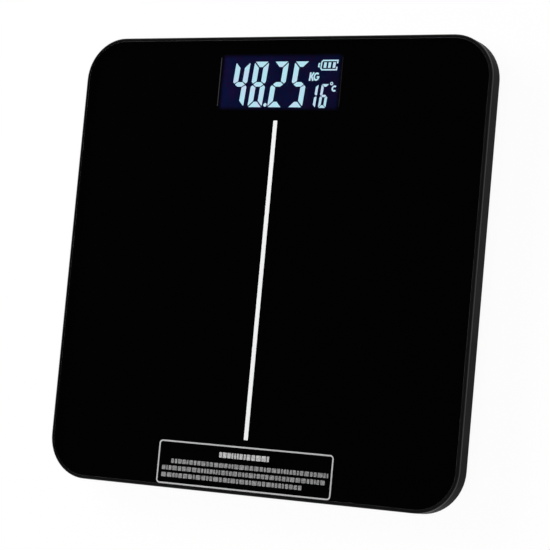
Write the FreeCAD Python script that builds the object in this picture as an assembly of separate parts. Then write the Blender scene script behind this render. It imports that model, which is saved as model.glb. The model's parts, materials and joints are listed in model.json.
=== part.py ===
"""Digital bathroom scale: a glass platform bonded to a moulded tray that stands on four sprung feet.

Millimetres. The origin is on the floor under the middle of the scale, +Z is up and +Y points to the
display's edge. One STEP file is written for each sub-part.
"""
import FreeCAD, Part
import math
import os

V = FreeCAD.Vector

# ---------------------------------------------------------------- driving dimensions

# platform and tray
platform_side = 280.0       # outside of the tray, both ways
tray_corner = 26.5          # outside corner radius of the tray, in plan
rim_width = 1.5             # rim beside the glass
rim_proud = 0.2             # rim's top above the glass
rim_round = 1.2             # rounding of the rim's outer edge
skirt_height = 13.0         # side wall, from the rim's top to the underside's slope
skirt_bevel = 2.0           # bevel between side wall and slope
slope_run = 20.0            # how far the slope runs in under the tray
belly_round = 6.0           # rounding between slope and flat underside
belly_height = 3.0          # flat underside above the floor
floor_wall = 2.0            # thickness of the tray's floor and slope
side_wall = 2.0             # thickness of the tray's side wall
rib_first = 12.0            # first stiffening rib from the middle, both ways
rib_pitch = 48.0            # spacing of the others
rib_thickness = 1.2

# glass and its adhesive band
glass_thickness = 4.0
glass_gap = 0.2             # between glass and rim
glass_bevel = 0.5           # ground edge
tape_thickness = 0.8
tape_width = 8.0
tape_inset = 0.6            # from the glass's edge
tape_notch = 1.0            # band clear of the display's frame

# feet and load cells
foot_inset = 46.0           # centre of a foot from the tray's outside
foot_radius = 21.5          # foot cup
foot_floor = 1.8
foot_gap = 0.5              # cup to the tray's bore
foot_travel = 0.5           # full travel of a foot
foot_stop_gap = 0.05        # left over at full travel
pad_radius = 17.5
pad_thickness = 2.2
turret_wall = 2.0           # wall of the pocket that a foot slides in
turret_roof = 1.8
cell_side = 34.0            # load cell, a square stamped plate
cell_clip = 7.0             # its clipped corners
cell_plate = 2.5            # its thickness
cell_frame = 5.0            # width of its outer frame
cell_tongue = 14.0          # width of the bending tongue
cell_neck = 9.0             # width of its neck, where the gauge sits
cell_tip_gap = 2.5          # tongue's tip to the frame
cell_gap = 0.1              # plate to the cup's pocket
cell_lift = 1.0             # free space under the tongue
post_side = 7.0             # tray's square post that presses the tongue
post_offset = 2.0           # post from the foot's centre, away from the neck
post_root = 0.5             # how deep a post is rooted in the pocket's roof
gauge_thickness = 0.9
gauge_length = 7.0
gauge_bevel = 0.4
hook_turns = (0, 180)       # snap hooks that keep the cup in its pocket, round it
hook_width = 6.0
hook_thickness = 1.4
hook_catch = 0.7            # how far a barb reaches over the turret
hook_height = 1.5
hook_gap = 0.1              # under the barb, at rest
hook_room = 0.5             # round a hook, in its window
hook_root = 1.5             # how deep a hook is rooted in the cup

# standard cells, their bay and door
aaa_diameter = 10.5
aaa_length = 44.5
aaa_button_radius = 1.9
aaa_button_height = 0.9
aaa_shoulder = 1.2
aaa_between = 0.5           # between the two cells
bay_side_gap = 0.4          # cell to bay
bay_roof = 1.1
bay_roof_gap = 0.2          # bay's roof under the tops of the ribs
bay_wall = 2.0
cell_rest_gap = 0.3         # cells above the closed door
contact_sheet = 0.4         # sheet of the contacts
contact_height = 8.0
contact_width = 7.6
link_height = 4.0           # strip that joins the two contacts of the link
leaf_reach = 4.0            # how far a sprung contact stands off its plate
leaf_sheet = 0.4
leaf_height = 6.0
tab_width = 4.0             # solder tabs
tab_reach = 3.4
tab_gap = 0.2
door_thickness = 1.5
door_margin = 1.8           # door beyond the bay, all round
door_gap = 0.2
door_corner = 2.0
door_seat_gap = 0.1         # door under its ledge
door_hook_width = 8.0
door_hook_reach = 2.4
door_hook_thickness = 1.2
door_hook_lift = 0.15       # hooks above the tray's floor
door_hook_gap = 0.4         # beside a hook
door_hook_room = 3.4        # room above the floor that the hooks swing in
door_hook_swing = 0.6       # and beyond their tips
door_hook_spread = 32.0     # between the two hooks
latch_width = 11.0
latch_slot = 1.0
latch_length = 7.5
latch_stem = 1.2
latch_height = 3.5
latch_set_back = 0.3        # behind the door's edge
latch_catch = 0.35
latch_barb = 1.5            # barb's height
latch_room = 0.5            # round the latch, in its opening
notch_reach = 6.75          # finger notch beside the latch, half its size across
notch_length = 16.0         # and along the door's edge
notch_offset = 3.0
latch_ridges = 3            # grooves for the finger
latch_ridge_pitch = 1.6

# display and its board
display_inset = 27.8        # centre of the display from the tray's outside
lcd_width = 92.0
lcd_depth = 40.0
lcd_plate = 1.4             # each of the two glass plates with its polariser
lcd_ledge = 3.0             # contact ledge of the front plate
lcd_lip = 2.0               # frame's lip over the panel's border
frame_lip = 0.7
frame_wall = 1.6
frame_gap = 0.2
gasket_thickness = 0.5
gasket_inset = 0.9          # from the frame's outside
guide_thickness = 2.4       # backlight guide plate
guide_margin = 2.0          # guide's end from the panel's end, where the LEDs stand
guide_gap = 0.2             # guide to the zebra strip's room
guide_back = 0.8            # guide short of the panel's back edge
film_thickness = 0.2
led_height = 1.7
led_width = 3.0
led_spread = 18.0
led_gap = 0.1
zebra_width = 2.0
zebra_inset = 0.4           # behind the panel's front edge
zebra_end = 3.0             # short of the panel's ends
board_thickness = 1.6
board_front = 3.4           # board beyond the panel towards the middle of the scale
board_back = 0.7            # board short of the panel at the far edge
board_clear = 1.5           # board to the ribs that frame it
clip_width = 4.0            # clips that hold the frame to the board
clip_thickness = 1.0
clip_catch = 0.5
clip_length = 1.2           # below the board
clip_gap = 0.1
clip_inset = 8.0            # clips from the panel's edges
screw_radius = 1.1
screw_head_radius = 2.1
screw_head_height = 1.6
screw_length = 5.5
screw_off_frame = 4.0       # screws beside the display's frame
screw_inset = 2.7           # screws from the board's side edges
screw_forward = 15.0        # screws from the board's front edge
boss_side = 5.6
pilot_radius = 0.9
pilot_gap = 0.5             # under a screw's end
chip_x = 12.0               # chip under its epoxy, and how far in front of the display's centre
chip_drop = 6.0
chip_radius = 6.0
chip_brow_radius = 4.4
chip_height = 1.6
crystal_x = 28.0
crystal_drop = 8.0
crystal_length = 8.0
crystal_width = 3.2
crystal_height = 2.4
resistor_x = -12.0          # first of two rows of chip resistors
resistor_rise = 6.0
resistor_pitch = 4.0
resistor_row = 5.0
resistor_length = 2.0
resistor_width = 1.25
resistor_height = 0.6
sensor_inset = 18.5         # temperature sensor, from the board's end
sensor_rise = 12.0
sensor_radius = 0.9
sensor_length = 3.4
sensor_drop = 1.6           # its axis under the board
lead_size = 0.4
lead_length = 2.4

# unit button and its switch
button_radius = 3.7
button_gap = 0.4
button_travel = 0.5
button_recess = 0.6         # button's face above the flat underside
button_flange_side = 10.4   # its square flange
button_flange = 0.8
button_seat_gap = 0.05
button_guide_wall = 1.2     # wall that guides the flange
button_guide_rise = 0.4     # wall above the flange
button_bevel = 0.5
button_x = -28.0
button_drop = 7.0           # button nearer the middle than the display's centre
dish_radius = 9.0           # finger dish round the button
dish_depth = 0.9
switch_side = 6.0
switch_height = 3.0
plunger_radius = 1.7
plunger_gap = 0.08
plunger_length = 2.1
plunger_end_gap = 0.15      # left over in the switch at full travel

# wires held inside
ribbon_width = 3.6          # three wires of a load cell, bonded side by side
wire_width = 1.2            # one wire with its insulation
wire_height = 1.0
wire_clear = 0.05           # under a wire
wire_room = 0.5             # beside a wire, where it crosses a rib
lane_front = 41.5           # lane of the front cells' wires, from the middle
lane_back = 46.5            # lane of the back cells' wires
lane_pitch = 2.0            # between the two battery wires
lane_clear = 0.75           # straight run before a battery wire's first turn
lane_off_turret = 4.0       # cross lane beside a turret
wire_turn = 3.0             # radius of the wires' turns
wire_end = 3.0              # how far the wires reach under the board
core_size = 0.5             # bared ends, up to the board

# ---------------------------------------------------------------- levels and places

half = platform_side / 2
z_belly = belly_height
z_floor = z_belly + floor_wall
z_door = z_belly + door_thickness
z_cell_axis = z_door + cell_rest_gap + aaa_diameter / 2
scallop_radius = aaa_diameter / 2 + bay_side_gap
z_bay_roof = z_cell_axis + scallop_radius + bay_roof
z_deck = z_bay_roof + bay_roof_gap          # tops of the ribs
z_glass = z_deck + tape_thickness           # underside of the glass
z_top = z_glass + glass_thickness
z_rim = z_top + rim_proud
z_slope = z_rim - skirt_height

glass_half = half - rim_width - glass_gap
glass_corner = tray_corner - rim_width - glass_gap

foot_xy = half - foot_inset
z_cup = pad_thickness                       # underside of a cup
z_cup_floor = z_cup + foot_floor
z_plate = z_cup_floor + cell_lift           # underside of a load cell
z_plate_top = z_plate + cell_plate
bore_radius = foot_radius + foot_gap
turret_radius = bore_radius + turret_wall
z_turret = z_plate_top + gauge_thickness + foot_travel + foot_stop_gap * 2
z_turret_top = z_turret + turret_roof
z_cup_top = z_turret - foot_travel - foot_stop_gap
z_wire = z_plate_top + wire_clear           # underside of the wires

display_y = half - display_inset
z_lip = z_glass - gasket_thickness
z_lcd = z_lip - frame_lip                   # display's face
z_lcd_mid = z_lcd - lcd_plate
z_lcd_back = z_lcd_mid - lcd_plate
z_guide = z_lcd_back - guide_thickness
z_board_top = z_guide - film_thickness
z_board = z_board_top - board_thickness
lcd_front_edge = display_y - lcd_depth / 2
lcd_back_edge = display_y + lcd_depth / 2
board_y0 = lcd_front_edge - board_front
board_y1 = lcd_back_edge - board_back
guide_half_x = lcd_width / 2 - guide_margin
guide_y0 = lcd_front_edge + lcd_ledge + guide_gap
guide_y1 = lcd_back_edge - guide_back
frame_half_x = lcd_width / 2 + frame_gap + frame_wall
frame_half_y = lcd_depth / 2 + frame_gap + frame_wall
screw_x = frame_half_x + screw_off_frame
screw_y = board_y0 + screw_forward
board_half = screw_x + screw_inset
z_pilot = z_board_top - screw_length - pilot_gap
sensor_x = sensor_inset - board_half
clip_ys = (lcd_front_edge + clip_inset, lcd_back_edge - clip_inset)

bay_y = rib_pitch                           # the bay's back wall falls on a rib line
cell_pitch = aaa_diameter + aaa_between
bay_half_y = cell_pitch / 2 + scallop_radius
bay_length = aaa_length + 2 * contact_sheet + leaf_reach
bay_half_x = bay_length / 2
door_hook_xs = (-door_hook_spread / 2, door_hook_spread / 2)
door_half_x = bay_half_x + door_margin
door_half_y = bay_half_y + door_margin

button_y = display_y - button_drop
z_button = z_belly + button_recess
z_flange = z_floor + button_seat_gap
z_flange_top = z_flange + button_flange
z_switch = z_board - switch_height

cross_lane = foot_xy - turret_radius - lane_off_turret
slot_half = ribbon_width / 2 + wire_room


# ---------------------------------------------------------------- shapes

def block(x0, x1, y0, y1, z0, z1):
    return Part.makeBox(x1 - x0, y1 - y0, z1 - z0, V(x0, y0, z0))


def block_at(x, y, size_x, size_y, z0, z1):
    return block(x - size_x / 2, x + size_x / 2, y - size_y / 2, y + size_y / 2, z0, z1)


def disc(x, y, radius, z0, z1):
    return Part.makeCylinder(radius, z1 - z0, V(x, y, z0))


def level_edges(shape, z):
    """Edges that lie flat at one height."""
    return [e for e in shape.Edges
            if abs(e.BoundBox.ZMin - z) < 1e-6 and abs(e.BoundBox.ZMax - z) < 1e-6]


def upright_edges(shape):
    return [e for e in shape.Edges
            if e.BoundBox.XLength < 1e-6 and e.BoundBox.YLength < 1e-6]


def rounded_block(x, y, size_x, size_y, radius, z0, z1):
    solid = block_at(x, y, size_x, size_y, z0, z1)
    return solid.makeFillet(radius, upright_edges(solid))


def dished(half_size, corner, z0, z1, run, rise):
    """A rounded square block whose lower edge slopes in by run over a height of rise."""
    solid = rounded_block(0, 0, 2 * half_size, 2 * half_size, corner, z0, z1)
    return solid.makeChamfer(rise, run, level_edges(solid, z0))


def scoop(x, y, radius, depth, z):
    """A ball whose cap, radius wide and depth high, stands above height z."""
    ball = (radius ** 2 + depth ** 2) / (2 * depth)
    return Part.makeSphere(ball, V(x, y, z + depth - ball))


def trough(x, y, length, reach, depth, z):
    """A lying cylinder along X whose cap, twice reach wide and depth high, stands above height z."""
    barrel = (reach ** 2 + depth ** 2) / (2 * depth)
    return Part.makeCylinder(barrel, length, V(x - length / 2, y, z + depth - barrel), V(1, 0, 0))


def rounded_path(points, turn):
    """Straight runs joined by tangent arcs, as one wire."""
    edges = []
    start = points[0]
    for before, corner, after in zip(points, points[1:], points[2:]):
        back = (before - corner).normalize()
        ahead = (after - corner).normalize()
        bend = math.pi - back.getAngle(ahead)
        reach = turn * math.tan(bend / 2)
        into = corner + back * reach
        out = corner + ahead * reach
        middle = corner + (back + ahead).normalize() * (turn / math.cos(bend / 2) - turn)
        edges.append(Part.makeLine(start, into))
        edges.append(Part.Arc(into, middle, out).toShape())
        start = out
    edges.append(Part.makeLine(start, points[-1]))
    return Part.Wire(edges)


def ribbon(points, width, height, turn):
    """A flat band of wires on its underside's centre line, in plan, along straight runs and tangent arcs."""
    run = (points[1] - points[0]).normalize()
    left = V(-run.y, run.x, 0) * (width / 2)
    up = V(0, 0, height)
    section = Part.makePolygon([points[0] + left, points[0] - left, points[0] - left + up,
                                points[0] + left + up, points[0] + left])
    return rounded_path(points, turn).makePipe(Part.Face(section))


def clipped_block(side, clip, z0, z1):
    """A square plate with clipped corners, about the origin."""
    plate = block_at(0, 0, side, side, z0, z1)
    return plate.makeChamfer(clip, upright_edges(plate))


def fused(first, *others):
    return first.fuse(list(others)).removeSplitter()


# ---------------------------------------------------------------- layout that several pieces share

# name, centre and the turn about Z that points the foot's wires at the middle of the scale
feet = [(f"{row}_{side}", sx * foot_xy, sy * foot_xy, sx, sy)
        for row, sy in (("front", -1), ("back", 1))
        for side, sx in (("left", -1), ("right", 1))]


def place_foot(shape, foot):
    """Move a piece drawn about the origin, wires towards -Y, to its foot."""
    name, x, y, sx, sy = foot
    placed = shape.copy()
    if sy < 0:
        placed.rotate(V(0, 0, 0), V(0, 0, 1), 180)
    placed.translate(V(x, y, 0))
    return placed


def cell_route(foot):
    """Centre line of a load cell's wires: out of the turret, along the lanes and under the board."""
    name, x, y, sx, sy = foot
    lane = sx * (lane_front if sy < 0 else lane_back)
    start = y - sy * (cell_side / 2 - cell_frame + wire_clear)
    return [V(x, start, z_wire),
            V(x, sy * cross_lane, z_wire),
            V(lane, sy * cross_lane, z_wire),
            V(lane, board_y0 + wire_end, z_wire)]


def battery_routes():
    """The two battery wires, from the terminals' tabs to the board."""
    start = bay_half_x + bay_wall + wire_width / 2
    first_lane = start + wire_turn + lane_clear
    return [[V(start, y, z_wire), V(lane, y, z_wire), V(lane, board_y0 + wire_end, z_wire)]
            for lane, y in ((first_lane, bay_y + cell_pitch / 2),
                            (first_lane + lane_pitch, bay_y - cell_pitch / 2))]


def passage(points, half_width):
    """Room for wires along a route, open to the top of the ribs."""
    return [block(min(a.x, b.x) - half_width, max(a.x, b.x) + half_width,
                  min(a.y, b.y) - half_width, max(a.y, b.y) + half_width,
                  z_plate_top, z_deck + 1) for a, b in zip(points, points[1:])]


def rib_lines(limit):
    """Rib positions on one side of the middle, out to a limit."""
    count = int((limit - rib_first) // rib_pitch) + 1
    return [rib_first + rib_pitch * i for i in range(count)]


# ---------------------------------------------------------------- base tray

def tray_body():
    """The dished tray with the glass's pocket, before ribs and pockets."""
    rise = z_slope - z_belly
    outer = dished(half, tray_corner, z_belly, z_rim, slope_run, rise)
    outer = outer.makeChamfer(skirt_bevel, level_edges(outer, z_slope))
    outer = outer.makeFillet(belly_round, level_edges(outer, z_belly))
    outer = outer.makeFillet(rim_round, level_edges(outer, z_rim))
    pocket = rounded_block(0, 0, 2 * (half - rim_width), 2 * (half - rim_width),
                           tray_corner - rim_width, z_deck, z_rim + 1)
    return outer.cut([cavity(side_wall, z_floor, z_deck), pocket])


def cavity(wall, z0, z1):
    """The tray's inside at a given wall, its slope parallel to the outer one."""
    grade = (z_slope - z_belly) / slope_run
    depth = z0 - z_belly
    rise = (z_slope - z_belly) + depth * math.hypot(1, grade) - wall * grade - depth
    return dished(half - wall, tray_corner - wall, z0, z1, rise / grade, rise)


def rib_lattice():
    """Crossed ribs, trimmed to the tray and cleared round the board and the wires."""
    lines = rib_lines(half - side_wall)
    plates = [block_at(0, side * line, platform_side, rib_thickness, z_belly, z_deck)
              for line in lines for side in (-1, 1)]
    plates += [block_at(side * line, 0, rib_thickness, platform_side, z_belly, z_deck)
               for line in lines for side in (-1, 1)]
    inside = cavity(side_wall / 2, z_belly + floor_wall / 2, z_deck)
    side_line = min(x for x in lines if x > board_half + board_clear)
    front_line = max(y for y in lines if y < board_y0 - board_clear)
    edge = rib_thickness / 2
    rooms = [block(-side_line + edge, side_line - edge, front_line + edge, half, z_floor, z_deck + 1)]
    for foot in feet:
        rooms += passage(cell_route(foot), slot_half)
    for route in battery_routes():
        rooms += passage(route, wire_width / 2 + wire_room)
    return plates[0].fuse(plates[1:]).common(inside).cut(rooms)


def turret():
    """The round pocket that a foot slides in, closed above."""
    return disc(0, 0, turret_radius, z_belly + floor_wall / 2, z_turret_top)


def turret_rooms():
    """What is cut from a turret: the foot's bore, the hooks' windows and the wires' slot."""
    rooms = [disc(0, 0, bore_radius, z_belly - 1, z_turret)]
    inner = foot_radius - hook_thickness - hook_room
    reach = hook_width / 2 + hook_room
    for turn in hook_turns:
        window = block(inner, bore_radius, -reach, reach, z_turret - 1, z_turret_top)
        head = block(inner, bore_radius + hook_catch + hook_room, -reach, reach, z_turret_top, z_deck + 1)
        for room in (window, head):
            room.rotate(V(0, 0, 0), V(0, 0, 1), turn)
            rooms.append(room)
    rooms.append(block(-slot_half, slot_half, -turret_radius - 1, -foot_radius, z_floor, z_turret))
    return rooms


def bay_block():
    """Walls and roof of the battery bay, before its inside is cut."""
    return block_at(0, bay_y, 2 * (bay_half_x + bay_wall), 2 * (bay_half_y + bay_wall),
                    z_belly + floor_wall / 2, z_bay_roof)


def bay_rooms():
    """Inside of the battery bay, its scalloped roof and the door's seat."""
    rooms = [block_at(0, bay_y, 2 * bay_half_x, 2 * bay_half_y, z_belly - 1, z_cell_axis)]
    for side in (-1, 1):
        y = bay_y + side * cell_pitch / 2
        rooms.append(Part.makeCylinder(scallop_radius, bay_length, V(-bay_half_x, y, z_cell_axis), V(1, 0, 0)))
        rooms.append(block(bay_half_x, bay_half_x + bay_wall + 1, y - tab_width / 2 - tab_gap,
                           y + tab_width / 2 + tab_gap, z_plate_top - contact_sheet - tab_gap,
                           z_wire + wire_height + tab_gap))
    rooms.append(rounded_block(0, bay_y, 2 * (door_half_x + door_gap), 2 * (door_half_y + door_gap),
                               door_corner + door_gap, z_belly - 1, z_door + door_seat_gap))
    return rooms + door_hook_rooms() + latch_rooms()


def door_hook_rooms():
    """Windows that the door's hooks swing in."""
    hinge = bay_y - door_half_y
    reach = door_hook_width / 2 + door_hook_gap
    z_room = z_floor + door_hook_room
    rooms = []
    for x in door_hook_xs:
        rooms.append(block(x - reach, x + reach, hinge - door_gap, bay_y - bay_half_y, z_door, z_room))
        rooms.append(block(x - reach, x + reach, hinge - door_hook_reach - door_hook_swing, hinge,
                           z_floor, z_room))
    return rooms


def latch_rooms():
    """Opening for the door's latch, the edge it catches and the dish that a finger pulls it from."""
    edge = bay_y + door_half_y
    reach = latch_width / 2 + latch_room
    z_room = z_door + latch_height + latch_room
    return [block(-reach, reach, bay_y + bay_half_y, edge + door_gap, z_door, z_room),
            block(-reach, reach, edge, edge + door_gap + latch_catch + latch_room, z_floor, z_room),
            trough(0, edge + notch_offset, notch_length, notch_reach, dish_depth, z_belly)]


def base_tray():
    z_root = z_belly + floor_wall / 2
    bosses = [block_at(side * screw_x, screw_y, boss_side, boss_side, z_root, z_board)
              for side in (-1, 1)]
    flange_room = button_flange_side + 2 * button_gap
    guide_side = flange_room + 2 * button_guide_wall
    guide = block_at(button_x, button_y, guide_side, guide_side, z_root, z_flange_top + button_guide_rise)
    turrets = [place_foot(turret(), foot) for foot in feet]
    body = tray_body().fuse([rib_lattice(), bay_block(), guide] + turrets + bosses)
    rooms = bay_rooms()
    rooms += [place_foot(room, foot) for foot in feet for room in turret_rooms()]
    rooms += [disc(side * screw_x, screw_y, pilot_radius, z_pilot, z_board + 1) for side in (-1, 1)]
    rooms.append(disc(button_x, button_y, button_radius + button_gap, z_belly - 1, z_floor))
    rooms.append(block_at(button_x, button_y, flange_room, flange_room, z_floor, z_deck))
    rooms.append(scoop(button_x, button_y, dish_radius, dish_depth, z_belly))
    posts = [place_foot(block_at(0, post_offset, post_side, post_side, z_plate_top, z_turret + post_root),
                        foot) for foot in feet]
    return fused(body.cut(rooms), *posts)


# ---------------------------------------------------------------- platform

def glass_platform():
    plate = rounded_block(0, 0, 2 * glass_half, 2 * glass_half, glass_corner, z_glass, z_top)
    return plate.makeChamfer(glass_bevel, level_edges(plate, z_top) + level_edges(plate, z_glass))


def glass_tape():
    outer = glass_half - tape_inset
    inner = outer - tape_width
    band = rounded_block(0, 0, 2 * outer, 2 * outer, glass_corner - tape_inset, z_deck, z_glass)
    opening = rounded_block(0, 0, 2 * inner, 2 * inner, glass_corner - tape_inset - tape_width,
                            z_deck - 1, z_glass + 1)
    notch = block(-frame_half_x - tape_notch, frame_half_x + tape_notch, 0,
                  display_y + frame_half_y + tape_notch, z_deck - 1, z_glass + 1)
    return band.cut([opening, notch])


# ---------------------------------------------------------------- feet

def foot_cup():
    """Cup that carries the load cell on a raised bed, with its snap hooks."""
    cup = disc(0, 0, foot_radius, z_cup, z_cup_top)
    pocket = clipped_block(cell_side + 2 * cell_gap, cell_clip, z_plate, z_cup_top + 1)
    relief = block_at(0, 0, cell_side - 2 * cell_frame, cell_side - 2 * cell_frame, z_cup_floor, z_plate + 1)
    gate = block(-slot_half, slot_half, -foot_radius - 1, -cell_side / 2 + cell_frame,
                 z_wire - foot_travel - wire_room, z_cup_top + 1)
    return fused(cup.cut([pocket, relief, gate]), *[snap_hook(turn) for turn in hook_turns])


def snap_hook(turn):
    """One snap hook: an arm through the turret's roof, with a barb over its edge."""
    inside = foot_radius - hook_thickness
    catch = bore_radius + hook_catch
    z_root = z_cup_top - hook_root
    z_barb = z_turret_top + hook_gap
    outline = Part.makePolygon([V(inside, 0, z_root), V(foot_radius, 0, z_root), V(foot_radius, 0, z_barb),
                                V(catch, 0, z_barb), V(foot_radius, 0, z_barb + hook_height),
                                V(inside, 0, z_barb + hook_height), V(inside, 0, z_root)])
    hook = Part.Face(outline).extrude(V(0, hook_width, 0))
    hook.translate(V(0, -hook_width / 2, 0))
    hook.rotate(V(0, 0, 0), V(0, 0, 1), turn)
    return hook


def foot_pad():
    return disc(0, 0, pad_radius, 0, pad_thickness)


def load_cell():
    """Stamped plate: an outer frame and a tongue that bends at its gauged neck."""
    window = cell_side / 2 - cell_frame
    frame = clipped_block(cell_side, cell_clip, z_plate, z_plate_top)
    opening = block_at(0, 0, 2 * window, 2 * window, z_plate - 1, z_plate_top + 1)
    tip = window - cell_tip_gap
    pad = block(-cell_tongue / 2, cell_tongue / 2, -tip / 3, tip, z_plate, z_plate_top)
    pad = pad.makeChamfer(cell_tip_gap, upright_edges(pad))
    neck = block(-cell_neck / 2, cell_neck / 2, -window - 1, 0, z_plate, z_plate_top)
    return fused(frame.cut(opening), pad, neck)


def gauge_seal():
    """Sealing over the two gauges on the tongue's neck."""
    window = cell_side / 2 - cell_frame
    z_seal = z_plate_top + gauge_thickness
    seal = block(-cell_neck / 2 + gauge_bevel, cell_neck / 2 - gauge_bevel, -window, -window + gauge_length,
                 z_plate_top, z_seal)
    return seal.makeChamfer(gauge_bevel, level_edges(seal, z_seal))


# ---------------------------------------------------------------- battery

def dry_cell(side):
    """A standard cell along X with its button at the end that side points to."""
    radius = aaa_diameter / 2
    shoulder = aaa_length - aaa_button_height
    outline = [V(0, 0, 0), V(0, radius, 0), V(shoulder - aaa_shoulder, radius, 0),
               V(shoulder, radius - aaa_shoulder, 0), V(shoulder, aaa_button_radius, 0),
               V(aaa_length, aaa_button_radius, 0), V(aaa_length, 0, 0), V(0, 0, 0)]
    cell = Part.Face(Part.makePolygon(outline)).revolve(V(0, 0, 0), V(1, 0, 0), 360)
    if side < 0:
        cell.rotate(V(0, 0, 0), V(0, 0, 1), 180)
    cell.translate(V(side * (bay_half_x - contact_sheet - aaa_length), bay_y + side * cell_pitch / 2,
                     z_cell_axis))
    return cell


def contact_plate(x_side, y):
    """Flat part of a contact, against one end wall of the bay."""
    x = x_side * (bay_half_x - contact_sheet / 2)
    return block_at(x, y, contact_sheet, contact_width, z_cell_axis - contact_height / 2,
                    z_cell_axis + contact_height / 2)


def leaf(x_side, y):
    """Bowed leaf that presses a cell's flat end."""
    root = bay_half_x - contact_sheet
    tip = root - leaf_reach
    spread = contact_width / 2
    inside = spread - leaf_sheet
    outer = [V(root, y - spread, 0), V(tip, y, 0), V(root, y + spread, 0)]
    inner = [V(root, y + inside, 0), V(tip + leaf_sheet, y, 0), V(root, y - inside, 0)]
    outline = Part.Wire([Part.Arc(*outer).toShape(), Part.makeLine(outer[2], inner[0]),
                         Part.Arc(*inner).toShape(), Part.makeLine(inner[2], outer[0])])
    strip = Part.Face(outline).extrude(V(0, 0, leaf_height))
    strip.translate(V(0, 0, z_cell_axis - leaf_height / 2))
    if x_side < 0:
        strip = strip.mirror(V(0, 0, 0), V(1, 0, 0))
    return strip


def solder_tab(y):
    """Tab of a terminal, out through the bay's end wall."""
    return block(bay_half_x - contact_sheet, bay_half_x + tab_reach, y - tab_width / 2, y + tab_width / 2,
                 z_plate_top - contact_sheet, z_plate_top)


def battery_link():
    """Contact that joins the two cells at one end of the bay."""
    low = bay_y - cell_pitch / 2
    high = bay_y + cell_pitch / 2
    joined = block(-bay_half_x, -bay_half_x + contact_sheet, low, high,
                   z_cell_axis - link_height / 2, z_cell_axis + link_height / 2 - 1)
    return fused(joined, contact_plate(-1, low), contact_plate(-1, high), leaf(-1, high))


def battery_positive():
    y = bay_y + cell_pitch / 2
    return fused(contact_plate(1, y), solder_tab(y))


def battery_negative():
    y = bay_y - cell_pitch / 2
    return fused(contact_plate(1, y), solder_tab(y), leaf(1, y))


def battery_door():
    """Door with two hooks on one long edge and a sprung latch on the other."""
    plate = rounded_block(0, bay_y, 2 * door_half_x, 2 * door_half_y, door_corner, z_belly, z_door)
    edge = bay_y + door_half_y
    slots = [block_at(side * (latch_width + latch_slot) / 2, edge - (latch_length - 1) / 2,
                      latch_slot, latch_length + 1, z_belly - 1, z_door + 1) for side in (-1, 1)]
    grooves = [block_at(0, edge - latch_stem - latch_ridge_pitch * (i + 0.5), latch_width - 2 * latch_slot,
                        latch_ridge_pitch / 2, z_belly - 1, z_belly + door_thickness / 4)
               for i in range(latch_ridges)]
    return fused(plate.cut(slots + grooves), latch(), *[door_hook(x) for x in door_hook_xs])


def door_hook(x):
    """Hook that reaches over the tray's floor beside the bay."""
    hinge = bay_y - door_half_y
    z_root = z_belly + door_thickness / 3
    z_hook = z_floor + door_hook_lift
    z_hook_top = z_hook + door_hook_thickness
    rooted = hinge + door_thickness
    tip = hinge - door_hook_reach
    outline = Part.makePolygon([V(x, hinge, z_root), V(x, rooted, z_root), V(x, rooted, z_hook_top),
                                V(x, tip, z_hook_top), V(x, tip, z_hook), V(x, hinge, z_hook),
                                V(x, hinge, z_root)])
    hook = Part.Face(outline).extrude(V(door_hook_width, 0, 0))
    hook.translate(V(-door_hook_width / 2, 0, 0))
    return hook


def latch():
    """Sprung wall at the door's free edge, with a barb that catches over the tray's floor."""
    edge = bay_y + door_half_y
    face = edge - latch_set_back
    z_root = z_belly + door_thickness / 3
    z_barb = z_floor + door_seat_gap
    z_tip = z_door + latch_height
    catch = edge + door_gap + latch_catch
    outline = Part.makePolygon([V(0, face - latch_stem, z_root), V(0, face, z_root), V(0, face, z_barb),
                                V(0, catch, z_barb), V(0, catch, z_barb + latch_catch),
                                V(0, face, z_barb + latch_barb), V(0, face, z_tip),
                                V(0, face - latch_stem, z_tip), V(0, face - latch_stem, z_root)])
    tongue = Part.Face(outline).extrude(V(latch_width - latch_slot, 0, 0))
    tongue.translate(V(-(latch_width - latch_slot) / 2, 0, 0))
    return tongue


# ---------------------------------------------------------------- display

def lcd_panel():
    """Two glass plates; the front one overhangs at the contact ledge."""
    front = block_at(0, display_y, lcd_width, lcd_depth, z_lcd_mid, z_lcd)
    back = block(-lcd_width / 2, lcd_width / 2, lcd_front_edge + lcd_ledge, lcd_back_edge,
                 z_lcd_back, z_lcd_mid)
    return fused(front, back)


def lcd_frame():
    """Frame that clamps the panel to the board, held by four clips through it."""
    inner_x = lcd_width / 2 + frame_gap
    inner_y = lcd_depth / 2 + frame_gap
    outer = block_at(0, display_y, 2 * frame_half_x, 2 * frame_half_y, z_board_top, z_lip)
    outer = outer.makeChamfer(frame_wall / 2, upright_edges(outer))
    inside = block_at(0, display_y, 2 * inner_x, 2 * inner_y, z_board_top - 1, z_lcd)
    window = block_at(0, display_y, lcd_width - 2 * lcd_lip, lcd_depth - 2 * lcd_lip, z_lcd - 1, z_lip + 1)
    clips = [frame_clip(side, y) for side in (-1, 1) for y in clip_ys]
    return fused(outer.cut([inside, window]), *clips)


def frame_clip(side, y):
    """Clip down through the board, with a barb under it."""
    outside = frame_half_x
    inside = outside - clip_thickness
    z_barb = z_board - clip_gap / 2
    z_tip = z_board - clip_length
    outline = Part.makePolygon([V(inside, 0, z_board_top + 1), V(outside, 0, z_board_top + 1),
                                V(outside, 0, z_barb), V(outside + clip_catch, 0, z_barb),
                                V(outside, 0, z_tip), V(inside, 0, z_tip), V(inside, 0, z_board_top + 1)])
    clip = Part.Face(outline).extrude(V(0, clip_width, 0))
    clip.translate(V(0, y - clip_width / 2, 0))
    if side < 0:
        clip = clip.mirror(V(0, 0, 0), V(1, 0, 0))
    return clip


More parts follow.
